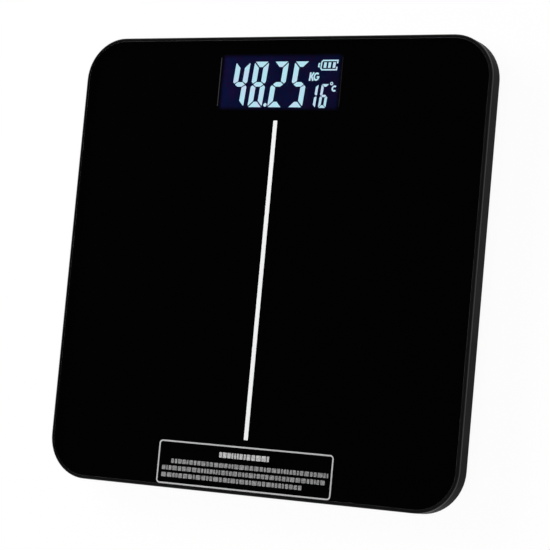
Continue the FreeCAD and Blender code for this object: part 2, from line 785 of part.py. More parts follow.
def lcd_gasket():
    inner_x = lcd_width / 2 - lcd_lip
    inner_y = lcd_depth / 2 - lcd_lip
    rim_x = frame_half_x - gasket_inset
    rim_y = frame_half_y - gasket_inset
    band = block_at(0, display_y, 2 * rim_x, 2 * rim_y, z_lip, z_glass)
    return band.cut(block_at(0, display_y, 2 * inner_x, 2 * inner_y, z_lip - 1, z_glass + 1))


def backlight_guide():
    return block(-guide_half_x, guide_half_x, guide_y0, guide_y1, z_guide, z_lcd_back)


def backlight_film():
    return block(-guide_half_x, guide_half_x, guide_y0, guide_y1, z_board_top, z_guide)


def backlight_leds():
    """Two light sources at each end of the guide."""
    x = (guide_half_x + lcd_width / 2) / 2
    length = guide_margin - led_gap
    return Part.makeCompound([block_at(side * x, display_y + end * led_spread / 2, length, led_width,
                                       z_board_top, z_board_top + led_height)
                              for side in (-1, 1) for end in (-1, 1)])


def zebra_strip():
    y = lcd_front_edge + zebra_inset
    x = lcd_width / 2 - zebra_end
    return block(-x, x, y, y + zebra_width, z_board_top, z_lcd_mid)


def main_board():
    """Board with the screws' holes and the slots for the frame's clips."""
    board = block(-board_half, board_half, board_y0, board_y1, z_board, z_board_top)
    board = board.makeChamfer(1.0, upright_edges(board))
    holes = []
    for side in (-1, 1):
        holes.append(disc(side * screw_x, screw_y, screw_radius, z_board - 1, z_board_top + 1))
        for y in clip_ys:
            holes.append(block_at(side * (frame_half_x - clip_thickness / 2), y, clip_thickness + 2 * clip_gap,
                                  clip_width + 2 * clip_gap, z_board - 1, z_board_top + 1))
    return board.cut(holes)


def board_screws():
    """Pan-head screws through the board into the tray's bosses."""
    z_head = z_board_top + screw_head_height
    solids = []
    for side in (-1, 1):
        head = disc(side * screw_x, screw_y, screw_head_radius, z_board_top, z_head)
        shank = disc(side * screw_x, screw_y, pilot_radius, z_board_top - screw_length, z_board_top)
        solids.append(fused(head, shank))
    return Part.makeCompound(solids)


def chip_blob():
    """Epoxy over the chip, under the board."""
    return Part.makeCone(chip_brow_radius, chip_radius, chip_height,
                         V(chip_x, display_y - chip_drop, z_board - chip_height))


def board_parts():
    """Crystal and two rows of chip resistors, under the board."""
    crystal = block_at(crystal_x, display_y - crystal_drop, crystal_length, crystal_width,
                       z_board - crystal_height, z_board)
    crystal = crystal.makeChamfer(crystal_width / 4, upright_edges(crystal))
    resistors = [block_at(resistor_x + resistor_pitch * i, display_y + resistor_rise + resistor_row * row,
                          resistor_length, resistor_width, z_board - resistor_height, z_board)
                 for i in range(4) for row in range(2)]
    return Part.makeCompound([crystal] + resistors)


def temperature_sensor():
    """Glass bead on two bent leads."""
    y = display_y + sensor_rise
    z = z_board - sensor_drop
    bead = Part.makeCylinder(sensor_radius, sensor_length, V(sensor_x - sensor_length / 2, y, z), V(1, 0, 0))
    leads = []
    for side in (-1, 1):
        out = sensor_x + side * (sensor_length / 2 + lead_length)
        middle = sensor_x + side * (sensor_length + lead_length) / 2
        leads.append(block_at(middle, y, lead_length, lead_size, z - lead_size / 2, z + lead_size / 2))
        leads.append(block_at(out, y, lead_size, lead_size, z - lead_size / 2, z_board))
    return fused(bead, *leads)


# ---------------------------------------------------------------- unit button

def unit_button():
    stem = disc(button_x, button_y, button_radius, z_button, z_flange_top)
    stem = stem.makeChamfer(button_bevel, level_edges(stem, z_button))
    return fused(stem, block_at(button_x, button_y, button_flange_side, button_flange_side,
                                z_flange, z_flange_top))


def switch_plunger():
    return disc(button_x, button_y, plunger_radius, z_flange_top, z_flange_top + plunger_length)


def unit_switch():
    body = block_at(button_x, button_y, switch_side, switch_side, z_switch, z_board)
    return body.cut(disc(button_x, button_y, plunger_radius + plunger_gap, z_switch - 1,
                         z_flange_top + plunger_length + button_travel + plunger_end_gap))


# ---------------------------------------------------------------- wires

def bared_end(end, offset):
    """Bared core of a wire, bent up to the board."""
    return block_at(end.x + offset, end.y - core_size / 2, core_size, core_size, z_wire, z_board)


def cell_wires(foot):
    """The three wires of one load cell, bonded side by side."""
    route = cell_route(foot)
    cores = [bared_end(route[-1], offset) for offset in (-ribbon_width / 3, 0, ribbon_width / 3)]
    return fused(ribbon(route, ribbon_width, wire_height, wire_turn), *cores)


def battery_wires():
    return Part.makeCompound([fused(ribbon(route, wire_width, wire_height, wire_turn), bared_end(route[-1], 0))
                              for route in battery_routes()])


# ---------------------------------------------------------------- all sub-parts

def build():
    nodes = {
        "base_tray": base_tray(),
        "glass_platform": glass_platform(),
        "glass_tape": glass_tape(),
        "lcd_panel": lcd_panel(),
        "lcd_frame": lcd_frame(),
        "lcd_gasket": lcd_gasket(),
        "backlight_guide": backlight_guide(),
        "backlight_film": backlight_film(),
        "backlight_leds": backlight_leds(),
        "zebra_strip": zebra_strip(),
        "main_board": main_board(),
        "board_screws": board_screws(),
        "chip_blob": chip_blob(),
        "board_parts": board_parts(),
        "temperature_sensor": temperature_sensor(),
        "unit_switch": unit_switch(),
        "switch_plunger": switch_plunger(),
        "unit_button": unit_button(),
        "battery_cells": Part.makeCompound([dry_cell(1), dry_cell(-1)]),
        "battery_link": battery_link(),
        "battery_positive": battery_positive(),
        "battery_negative": battery_negative(),
        "battery_door": battery_door(),
        "battery_wires": battery_wires(),
    }
    for foot in feet:
        name = foot[0]
        nodes[f"foot_cup_{name}"] = place_foot(foot_cup(), foot)
        nodes[f"foot_pad_{name}"] = place_foot(foot_pad(), foot)
        nodes[f"load_cell_{name}"] = place_foot(load_cell(), foot)
        nodes[f"gauge_seal_{name}"] = place_foot(gauge_seal(), foot)
        nodes[f"cell_wires_{name}"] = cell_wires(foot)
    return nodes


os.makedirs("parts", exist_ok=True)
for node, shape in build().items():
    shape.exportStep(f"parts/{node}.step")
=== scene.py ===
"""Looks of the bathroom scale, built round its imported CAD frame.

Blender's objects are in metres, in the frame's own axes: +Z up, +Y towards the display's edge. Sizes on
the scale are written here in millimetres, and the helpers that take them turn them into metres. Scales of
noise are per metre.
"""
import json
import math
import random

import bmesh
import bpy
from mathutils import Matrix, Vector


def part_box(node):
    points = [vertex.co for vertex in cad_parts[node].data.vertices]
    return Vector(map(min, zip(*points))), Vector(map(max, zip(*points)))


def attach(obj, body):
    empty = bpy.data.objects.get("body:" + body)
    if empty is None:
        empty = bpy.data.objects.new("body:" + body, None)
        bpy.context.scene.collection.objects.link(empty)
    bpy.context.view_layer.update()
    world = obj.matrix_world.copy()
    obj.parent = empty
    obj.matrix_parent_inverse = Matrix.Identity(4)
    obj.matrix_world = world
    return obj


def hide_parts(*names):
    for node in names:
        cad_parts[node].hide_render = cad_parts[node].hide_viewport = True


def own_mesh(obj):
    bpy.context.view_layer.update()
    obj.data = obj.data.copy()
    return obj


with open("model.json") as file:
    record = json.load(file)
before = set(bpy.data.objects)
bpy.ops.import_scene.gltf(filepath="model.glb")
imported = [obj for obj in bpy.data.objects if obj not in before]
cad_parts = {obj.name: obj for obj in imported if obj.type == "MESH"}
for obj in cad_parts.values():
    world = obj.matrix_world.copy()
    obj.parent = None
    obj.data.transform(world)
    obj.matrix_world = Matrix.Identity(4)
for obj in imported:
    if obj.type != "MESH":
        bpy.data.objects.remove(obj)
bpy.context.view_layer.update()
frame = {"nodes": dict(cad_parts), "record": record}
nodes = frame["nodes"]

MM = 0.001
BODY = "scale_body"


def levels(node):
    """Lowest and highest corner of a node, in millimetres."""
    lo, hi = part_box(node)
    return lo / MM, hi / MM


# ---------------------------------------------------------------- places taken from the frame

glass_lo, glass_hi = levels("glass_platform")
lcd_lo, lcd_hi = levels("lcd_panel")
NEAR = glass_lo.y               # near edge of the glass
LCD_Y = (lcd_lo.y + lcd_hi.y) / 2
Z_TOP = glass_hi.z              # polished face of the glass
Z_BACK = glass_lo.z             # its printed face
Z_LCD = lcd_hi.z                # face of the display
Z_RIM = levels("base_tray")[1].z

# ---------------------------------------------------------------- tray and glass, in millimetres

RIM_POLISH = 1.3                # polished height of the tray's rim
RIM_FADE = 0.3                  # height in which the polish ends
# a little lighter than the wall: a painted highlight along the polished rim
RIM_HIGHLIGHT_COLOUR = (0.008, 0.008, 0.0083)
Z_SLOPE = 9.0                   # where the wall turns in under the tray
SLOPE_FADE = 0.6
UNDER_COLOUR = (0.013, 0.013, 0.0134)
GLASS_CORNER = 24.8             # radius of the glass's corners
GLASS_BEVEL = 0.5               # width of its ground edge
BEVEL_FADE = 0.02
BEVEL_DROP = 1.0                # the ground edge lies within this of the face
BEVEL_RISE = 0.1

# ---------------------------------------------------------------- battery cells and sensor, in millimetres

CELL_LONG = 44.5                # one cell, with its button
CELL_METAL = 1.7                # bare end beyond the jacket, at the button
CELL_BARE = 0.4                 # bare end at the flat
CELL_BAND = 11.5                # end of the copper band
BAND_LINE = (0.5, 0.9)          # pale line past the band
PLUS_ARM = 2.0
PLUS_PEN = 0.45                 # half the width of the plus mark's arms
SENSOR_BEAD = 0.55              # share of the sensor's length that is glass
SENSOR_FADE = 0.1

# ---------------------------------------------------------------- load cells, in millimetres

PLATE_EDGE = 0.08               # rolled edge of the stamped plate
SHARP = math.radians(30)        # edges sharper than this are rolled
FLAT = math.radians(1)          # facets flatter than this are joined first
WELD = 0.0001                   # points nearer than this are one

# ---------------------------------------------------------------- print on the face, in millimetres

LAYER = 0.03                    # depth of a printed or lit layer
PRINT_SHORT = 0.1               # black print short of the glass's edge
PRINT_LIFT = 0.01               # black print inside the glass's back
FRONT_LIFT = 0.005              # line and label on the glass's front
WINDOW = (-43.4, 41.2, LCD_Y - 17.8, LCD_Y + 17.6)
WINDOW_CORNER = 1.0
WINDOW_HIGHLIGHT = 0.5               # width of the painted highlights beside the window: pale strips standing in for the frame's edges catching light
WINDOW_HIGHLIGHT_Y = (LCD_Y - 15.1, LCD_Y + 15.2)
WINDOW_HIGHLIGHT_CORNER = 0.1
LINE_WIDTH = 2.75               # the centre line
LINE_Y = (-106.9, 87.8)
LINE_CORNER = 0.25
LABEL_X = 59.9                  # half the label's length
LABEL_Y = (NEAR + 0.7, NEAR + 27.3)
LABEL_PEN = 0.9
LABEL_CORNER = 2.4
# each row of dashes: name, ends, middle, height
LABEL_ROWS = (("label_heading", -17.2, 18.1, NEAR + 21.2, 3.3),
              ("label_row_1", -50.4, 57.3, NEAR + 14.9, 2.7),
              ("label_row_2", -56.6, 55.4, NEAR + 10.6, 2.7),
              ("label_row_3", -56.6, 40.6, NEAR + 6.3, 2.7))
DASH_LONG = (1.2, 3.4)
DASH_GAP = (0.45, 0.75)
DASH_LEAST = 0.8                # no dash starts nearer than this to its row's end
DASH_CORNER = 0.3

# ---------------------------------------------------------------- display, in millimetres

GLOW_X = (-43.4, 40.6)          # where the backlight leaks through
GLOW_Y = (LCD_Y - 17.8, LCD_Y + 18.0)
GLOW_EDGE = 3.4
SLANT = math.tan(math.radians(5.2))
BIG_DIGITS = (("4", -29.3), ("8", -16.3), ("2", -2.5), ("5", 11.7))
BIG_Y = (LCD_Y - 15.5, LCD_Y + 12.8)
BIG_FORM = {"width": 9.9, "pen": 3.35, "middle": 2.8, "gap": 0.8}
SMALL_DIGITS = (("1", 22.3), ("6", 29.5))
SMALL_Y = (LCD_Y - 15.8, LCD_Y - 1.2)
SMALL_FORM = {"width": 5.1, "pen": 1.65, "middle": 1.4, "gap": 0.4}
POINT = (-10.3, LCD_Y - 14.1)
POINT_RADIUS = 1.15
DEGREE = (34.2, LCD_Y - 0.9)
DEGREE_RADII = (1.05, 0.45)
DEGREE_C = (36.3, LCD_Y - 3.95) # the C under it
C_RADIUS = 1.4
C_PEN = 1.0
UNIT = (18.4, LCD_Y + 0.8)
UNIT_HIGH = 5.2
UNIT_NARROW = 0.94
BATTERY = (23.6, LCD_Y + 7.0)
MITRE_LEAST = 0.35              # keeps a pen's sharp bends short

# ---------------------------------------------------------------- camera, where the photograph was taken

CAMERA_FROM_FACE = Vector((607.97, -109.02, 1104.72))     # millimetres from the middle of the face
CAMERA_RIGHT = Vector((0.87911, 0.09175, -0.46770))
CAMERA_DOWN = Vector((0.04237, -0.99246, -0.11506))
CAMERA_LENS = 136.93
CAMERA_SENSOR = 36.0
CAMERA_CLIP = (0.05, 50)        # metres


def make_camera():
    data = bpy.data.cameras.new("camera")
    data.lens = CAMERA_LENS
    data.sensor_width = CAMERA_SENSOR
    data.clip_start, data.clip_end = CAMERA_CLIP
    camera = bpy.data.objects.new("camera", data)
    bpy.context.scene.collection.objects.link(camera)
    right = CAMERA_RIGHT.normalized()
    up = -CAMERA_DOWN.normalized()
    back = right.cross(up)
    turn = Matrix((right, up, back)).transposed().to_4x4()
    place = (CAMERA_FROM_FACE + Vector((0, 0, Z_TOP))) * MM
    camera.matrix_world = Matrix.Translation(place) @ turn
    bpy.context.scene.camera = camera


# ---------------------------------------------------------------- node trees

class Tree:
    """A material's or world's nodes, made by short calls."""

    def __init__(self, owner):
        owner.use_nodes = True
        self.tree = owner.node_tree
        self.tree.nodes.clear()

    def node(self, kind, inputs=None, **settings):
        made = self.tree.nodes.new(kind)
        for key, value in settings.items():
            setattr(made, key, value)
        for key, value in (inputs or {}).items():
            self.feed(made.inputs[key], value)
        return made

    def feed(self, socket, value):
        if isinstance(value, bpy.types.NodeSocket):
            self.tree.links.new(value, socket)
        elif isinstance(value, (tuple, list)) and len(value) == 3 and len(socket.default_value) == 4:
            socket.default_value = (*value, 1.0)
        else:
            socket.default_value = value

    def place(self):
        """The point on the object, in metres; it moves with the piece."""
        return self.node("ShaderNodeTexCoord").outputs["Object"]

    def split(self, vector):
        parts = self.node("ShaderNodeSeparateXYZ", {0: vector})
        return parts.outputs[0], parts.outputs[1], parts.outputs[2]

    def xyz(self):
        return self.split(self.place())

    def stretched(self, factors):
        """The point on the object, with each axis stretched by its own factor."""
        x, y, z = (self.times(value, factor) for value, factor in zip(self.xyz(), factors))
        return self.node("ShaderNodeCombineXYZ", {0: x, 1: y, 2: z}).outputs[0]

    def noise(self, scale, detail=3.0, rough=0.55, at=None, warp=0.0):
        made = self.node("ShaderNodeTexNoise", {"Vector": at or self.place(), "Scale": scale,
                                                "Detail": detail, "Roughness": rough,
                                                "Distortion": warp})
        return made.outputs["Fac"]

    def cells(self, scale):
        """Distance to the middle of the nearest cell."""
        made = self.node("ShaderNodeTexVoronoi", {"Vector": self.place(), "Scale": scale})
        return made.outputs["Distance"]

    def math(self, kind, a, b=0.0):
        return self.node("ShaderNodeMath", {0: a, 1: b}, operation=kind).outputs[0]

    def add(self, a, b):
        return self.math("ADD", a, b)

    def less(self, a, b):
        return self.math("SUBTRACT", a, b)

    def times(self, a, b):
        return self.math("MULTIPLY", a, b)

    def weigh(self, a, b, share):
        """The share of a, and the rest of b."""
        return self.add(self.times(a, share), self.times(b, 1 - share))

    def length(self, a, b):
        """Length of the vector (a, b)."""
        return self.math("SQRT", self.add(self.times(a, a), self.times(b, b)))

    def range(self, value, a0, a1, b0, b1, smooth=False):
        made = self.node("ShaderNodeMapRange", {"Value": value, "From Min": a0, "From Max": a1,
                                                "To Min": b0, "To Max": b1},
                         interpolation_type="SMOOTHSTEP" if smooth else "LINEAR")
        return made.outputs[0]

    def vary(self, noise, low, high):
        """A value that follows noise, which mostly lies from 0.3 to 0.7."""
        return self.range(noise, 0.3, 0.7, low, high)

    def spread(self, value, low=0.3, high=0.7):
        """A value stretched to run from 0 to 1."""
        return self.range(value, low, high, 0.0, 1.0)

    def ramp(self, value, low, high, smooth=False):
        """Rises from 0 to 1 between two places in millimetres, or falls if the first is the higher."""
        start, end = (0.0, 1.0) if low < high else (1.0, 0.0)
        return self.range(value, min(low, high) * MM, max(low, high) * MM, start, end, smooth)

    def mix(self, share, a, b):
        made = self.node("ShaderNodeMix", data_type="RGBA")
        self.feed(made.inputs[0], share)
        self.feed(made.inputs[6], a)
        self.feed(made.inputs[7], b)
        return made.outputs[2]

    def bump(self, height, depth, strength):
        """depth is in millimetres."""
        inputs = {"Height": height, "Distance": depth * MM, "Strength": strength}
        return self.node("ShaderNodeBump", inputs).outputs[0]

    def surface(self, shader):
        out = self.node("ShaderNodeOutputMaterial")
        self.tree.links.new(shader, out.inputs["Surface"])


def new_look(name):
    """A new material, and its tree."""
    made = bpy.data.materials.new(name)
    return made, Tree(made)


def finish(tree, **sockets):
    """One Principled shader from named sockets: base_color, roughness, normal and so on."""
    names = {key: key.replace("_", " ").title().replace("Ior", "IOR") for key in sockets}
    shader = tree.node("ShaderNodeBsdfPrincipled", {names[k]: v for k, v in sockets.items()})
    tree.surface(shader.outputs[0])


# ---------------------------------------------------------------- plastics and rubbers

def eroded(t, fine, coarse):
    """Eroded mould texture: slow clouds, fine grit, and the tone and height made of them."""
    slow = t.noise(38.0, 2.0)
    grit = t.noise(fine, 2.0, 0.7)
    lumps = t.noise(coarse, 2.0, 0.6)
    return slow, grit, t.weigh(slow, lumps, 0.6), t.weigh(grit, lumps, 0.6)


def moulded(name, dark, pale, rough, grain=5200.0, depth=0.012, marks=0.0):
    """Moulded plastic: fine eroded grain, slow changes of tone and sheen, and faint rub marks."""
    look, t = new_look(name)
    slow, grit, tone, height = eroded(t, grain, grain * 0.3)
    sheen = t.add(t.vary(slow, rough - 0.04, rough + 0.05), t.vary(grit, -0.04, 0.04))
    if marks:
        streak = t.noise(900.0, 3.0, 0.7, t.stretched((0.15, 1.0, 1.0)), 0.6)
        sheen = t.less(sheen, t.range(streak, 0.66, 0.74, 0.0, marks))
    finish(t, base_color=t.mix(t.spread(tone), dark, pale), roughness=sheen,
           normal=t.bump(height, depth, 0.55), specular_ior_level=0.5)
    return look


def tray_abs():
    """The tray's moulded plastic: eroded texture on the wall and underside, polished at the rim, where its
    lighter colour is a painted highlight.
    """
    look, t = new_look("tray_abs")
    z = t.xyz()[2]
    slow, grit, tone, height = eroded(t, 4200.0, 1300.0)
    # the polished band at the rim: a real coat and smoother finish, and a lighter colour that is a painted
    # highlight
    polish_and_highlight = t.ramp(z, Z_RIM - RIM_POLISH - RIM_FADE, Z_RIM - RIM_POLISH, smooth=True)
    dull = t.less(1.0, polish_and_highlight)
    under = t.ramp(z, Z_SLOPE, Z_SLOPE - SLOPE_FADE)
    wall = t.mix(t.spread(tone), (0.0042, 0.0042, 0.0045), (0.0066, 0.0066, 0.007))
    grain = t.add(t.vary(slow, 0.5, 0.6), t.vary(grit, -0.05, 0.05))
    finish(t, base_color=t.mix(under, t.mix(polish_and_highlight, wall, RIM_HIGHLIGHT_COLOUR), UNDER_COLOUR),
           roughness=t.add(t.times(grain, dull), t.times(polish_and_highlight, 0.16)),
           normal=t.bump(t.times(height, dull), 0.012, 0.5), specular_ior_level=0.03,
           coat_weight=t.times(polish_and_highlight, 0.42), coat_roughness=0.15)
    return look


def rubbery(name, dark, pale, rough=0.7, grain=2600.0, depth=0.04):
    """Rubber, foam or silicone: dull, dusty in its pores."""
    look, t = new_look(name)
    pores = t.cells(grain)
    slow = t.noise(70.0, 3.0)
    finish(t, base_color=t.mix(t.spread(slow, 0.35, 0.65), dark, pale),
           roughness=t.range(pores, 0.0, 0.6, rough + 0.1, rough - 0.06),
           normal=t.bump(pores, depth, 0.5), specular_ior_level=0.35)
    return look


# ---------------------------------------------------------------- metal and glass

def metal(name, colour, rough):
    """Sheet or drawn metal: fine drawn lines along Y, clouded plating."""
    look, t = new_look(name)
    lines = t.noise(3200.0, 2.0, 0.6, t.stretched((1.0, 0.06, 1.0)))
    cloud = t.noise(240.0, 3.0, 0.6)
    dull = tuple(c * 0.8 for c in colour)
    finish(t, base_color=t.mix(t.spread(cloud), dull, colour), metallic=1.0,
           roughness=t.add(t.vary(lines, rough - 0.07, rough + 0.07),
                           t.vary(cloud, -0.04, 0.06)),
           normal=t.bump(lines, 0.004, 0.4))
    return look


def ground_edge(t):
    """1 on the bevel round the glass's face, 0 on the face and the side."""
    x, y, z = t.xyz()
    straight = (glass_hi.x - GLASS_CORNER) * MM
    past = [t.math("MAXIMUM", t.less(t.math("ABSOLUTE", value), straight), 0.0) for value in (x, y)]
    out = t.length(*past)
    inner = GLASS_CORNER - GLASS_BEVEL
    outer = GLASS_CORNER - BEVEL_FADE
    low = Z_TOP - BEVEL_DROP
    ring = t.times(t.ramp(out, inner - BEVEL_FADE, inner + BEVEL_FADE),
                   t.ramp(out, outer, outer - BEVEL_FADE))
    return t.times(ring, t.ramp(z, low, low + BEVEL_RISE))


def clear_glass():
    """The platform: polished tempered glass with the faintest roller wave, a trace of dust and a ground
    edge."""
    look, t = new_look("tempered_glass")
    wave = t.noise(22.0, 1.0)
    dust = t.noise(160.0, 2.0, 0.6)
    grind = t.noise(3000.0, 2.0, 0.6)
    bevel = ground_edge(t)
    ground = t.mix(grind, (0.014, 0.0145, 0.0143), (0.024, 0.0248, 0.0245))
    finish(t, base_color=t.mix(bevel, (0.96, 0.985, 0.975), ground),
           transmission_weight=t.less(1.0, t.times(bevel, 0.9)), ior=1.52,
           roughness=t.add(t.range(dust, 0.45, 0.8, 0.0, 0.02), t.times(bevel, 0.45)),
           normal=t.bump(t.add(wave, t.times(bevel, grind)), 0.004, 0.3))
    return look


def acrylic_guide():
    """The light guide: clear acrylic with rows of fine dots that throw its light up."""
    look, t = new_look("acrylic_guide")
    dots = t.range(t.cells(620.0), 0.18, 0.3, 1.0, 0.0, smooth=True)
    cloud = t.noise(60.0, 2.0)
    finish(t, base_color=t.mix(cloud, (0.86, 0.92, 0.97), (0.92, 0.96, 0.99)), transmission_weight=0.9,
           ior=1.49, roughness=t.range(dots, 0.0, 1.0, 0.06, 0.5), normal=t.bump(dots, 0.02, 0.6))
    return look


def glass_bead():
    """Temperature sensor: an amber glass bead on tinned leads."""
    look, t = new_look("sensor_bead")
    lo, hi = levels("temperature_sensor")
    middle, bead = (lo.x + hi.x) / 2, (hi.x - lo.x) / 2 * SENSOR_BEAD
    out = t.math("ABSOLUTE", t.less(t.xyz()[0], middle * MM))
    lead = t.ramp(out, bead, bead + SENSOR_FADE)
    cloud = t.noise(1500.0, 2.0)
    amber = t.mix(cloud, (0.3, 0.07, 0.01), (0.42, 0.12, 0.02))
    finish(t, base_color=t.mix(lead, amber, (0.62, 0.61, 0.58)), metallic=lead,
           roughness=t.add(t.vary(cloud, 0.08, 0.14), t.times(lead, 0.2)),
           normal=t.bump(cloud, 0.01, 0.3))
    return look


# ---------------------------------------------------------------- board and cells

WEAVE = 9000.0                  # radians a metre: threads 0.7 mm apart


def board_mask():
    """Green solder mask: the glass cloth's weave under it, and the ridges of the copper tracks."""
    look, t = new_look("board_mask")
    lines = []
    for scale, width, height in ((1000.0, 7.0, 1.1), (610.0, 1.3, 6.0)):
        brick = t.node("ShaderNodeTexBrick", {"Vector": t.place(), "Scale": scale, "Mortar Size": 0.16,
                                              "Mortar Smooth": 0.3, "Brick Width": width,
                                              "Row Height": height})
        lines.append(brick.outputs["Fac"])
    tracks = t.times(t.math("MAXIMUM", *lines), t.spread(t.noise(120.0, 1.0), 0.48, 0.54))
    threads = [t.math("SINE", t.times(value, WEAVE)) for value in t.xyz()[:2]]
    weave = t.times(*threads)
    laminate = t.mix(t.spread(weave, -1.0, 1.0), (0.008, 0.07, 0.028), (0.012, 0.09, 0.036))
    finish(t, base_color=t.mix(tracks, laminate, (0.03, 0.19, 0.07)),
           roughness=t.range(weave, -1.0, 1.0, 0.26, 0.36),
           normal=t.bump(t.add(tracks, t.times(weave, 0.12)), 0.03, 0.6))
    return look


def cell_jacket():
    """The two cells' shrunk jackets, plain dark blue with a copper band and a plus at the button's end;
    the ends are bare plated steel."""
    look, t = new_look("cell_jacket")
    lo, hi = levels("battery_cells")
    x, y = t.xyz()[:2]
    across = t.less(y, (lo.y + hi.y) / 2 * MM)
    from_tip = t.less(hi.x * MM, t.times(x, t.math("SIGN", across)))
    from_axis = t.less(t.math("ABSOLUTE", across), (hi.y - lo.y) / 4 * MM)

    def within(value, low, high, soft=0.12):
        return t.times(t.ramp(value, low - soft, low + soft), t.ramp(value, high + soft, high - soft))

    jacket = within(from_tip, CELL_METAL, CELL_LONG - CELL_BARE)
    band = within(from_tip, CELL_METAL, CELL_BAND)
    line = within(from_tip, CELL_BAND + BAND_LINE[0], CELL_BAND + BAND_LINE[1])
    mark = (CELL_METAL + CELL_BAND) / 2
    bars = [t.times(within(from_tip, mark - along, mark + along), within(from_axis, -aside, aside))
            for along, aside in ((PLUS_ARM, PLUS_PEN), (PLUS_PEN, PLUS_ARM))]
    scuff = t.noise(700.0, 3.0, 0.7)
    slow = t.noise(90.0, 2.0)
    ink = t.mix(slow, (0.012, 0.03, 0.11), (0.02, 0.045, 0.15))
    ink = t.mix(band, ink, (0.56, 0.25, 0.09))
    ink = t.mix(t.math("MAXIMUM", line, t.math("MAXIMUM", *bars)), ink, (0.75, 0.74, 0.7))
    finish(t, base_color=t.mix(jacket, (0.66, 0.65, 0.62), ink),
           metallic=t.less(1.0, t.times(jacket, 0.8)),
           roughness=t.add(t.range(scuff, 0.4, 0.8, 0.2, 0.42), t.vary(slow, -0.03, 0.03)),
           normal=t.bump(t.add(scuff, t.times(jacket, 2.0)), 0.03, 0.4))
    return look


# ---------------------------------------------------------------- inks and the display

def matt_surface(t, colour, speck):
    """The dry surface of screen-printed ceramic ink, which the painted highlights beside the display
    window share.
    """
    finish(t, base_color=colour, roughness=t.vary(speck, 0.5, 0.62), normal=t.bump(speck, 0.002, 0.3),
           specular_ior_level=0.0)


def ink_and_highlight_look(name, dark, pale):
    """Dense ink, with fine pinholes of tone; the painted highlights beside the display window use it too.
    """
    look, t = new_look(name)
    speck = t.noise(6000.0, 2.0, 0.6)
    tone = t.weigh(speck, t.noise(60.0, 2.0), 0.5)
    matt_surface(t, t.mix(t.spread(tone, 0.35, 0.65), dark, pale), speck)
    return look


def dash_ink(name, dark, pale):
    """Grey ink where the label's dashes stand: broken up, as small print is."""
    look, t = new_look(name)
    broken = t.noise(1300.0, 2.0, 0.75)
    matt_surface(t, t.mix(t.spread(broken, 0.4, 0.62), (dark,) * 3, (pale,) * 3), broken)
    return look


def lit_panel():
    """The display: near black where the frame covers it, with the backlight's navy leak inside."""
    look, t = new_look("display_panel")
    x, y = t.xyz()[:2]
    inside = 1.0
    for value, (low, high) in ((x, GLOW_X), (y, GLOW_Y)):
        inside = t.times(inside, t.ramp(value, low, low + GLOW_EDGE, smooth=True))
        inside = t.times(inside, t.ramp(value, high, high - GLOW_EDGE, smooth=True))
    cloud = t.noise(90.0, 2.0)
    near_lamp = t.range(x, GLOW_X[0] * MM, 0.0, 1.3, 1.0)
    tint = t.mix(t.spread(t.noise(160.0, 1.0), 0.35, 0.65), (0.0016, 0.0034, 0.0265),
                 (0.0046, 0.0022, 0.0225))
    finish(t, base_color=t.mix(cloud, (0.0002, 0.0002, 0.0006), (0.0004, 0.0004, 0.001)),
           roughness=t.vary(cloud, 0.3, 0.4), normal=t.bump(t.noise(3000.0), 0.002, 0.3),
           specular_ior_level=0.1, emission_color=tint,
           emission_strength=t.times(t.times(inside, near_lamp), t.vary(cloud, 0.8, 1.2)))
    return look


def lit_segments():
    """Open segments of the display: the backlight's pale blue, a little uneven."""
    look, t = new_look("display_segments")
    patch = t.noise(150.0, 1.0)
    fine = t.noise(1400.0, 2.0)
    tint = t.mix(t.range(patch, 0.45, 0.65, 0.0, 0.7), (0.5, 0.81, 0.94), (0.63, 0.71, 0.94))
    finish(t, base_color=t.mix(fine, (0.01, 0.015, 0.018), (0.015, 0.02, 0.023)),
           roughness=t.vary(fine, 0.3, 0.4), normal=t.bump(fine, 0.002, 0.3),
           specular_ior_level=0.1, emission_color=tint,
           emission_strength=t.vary(fine, 0.97, 1.05))
    return look


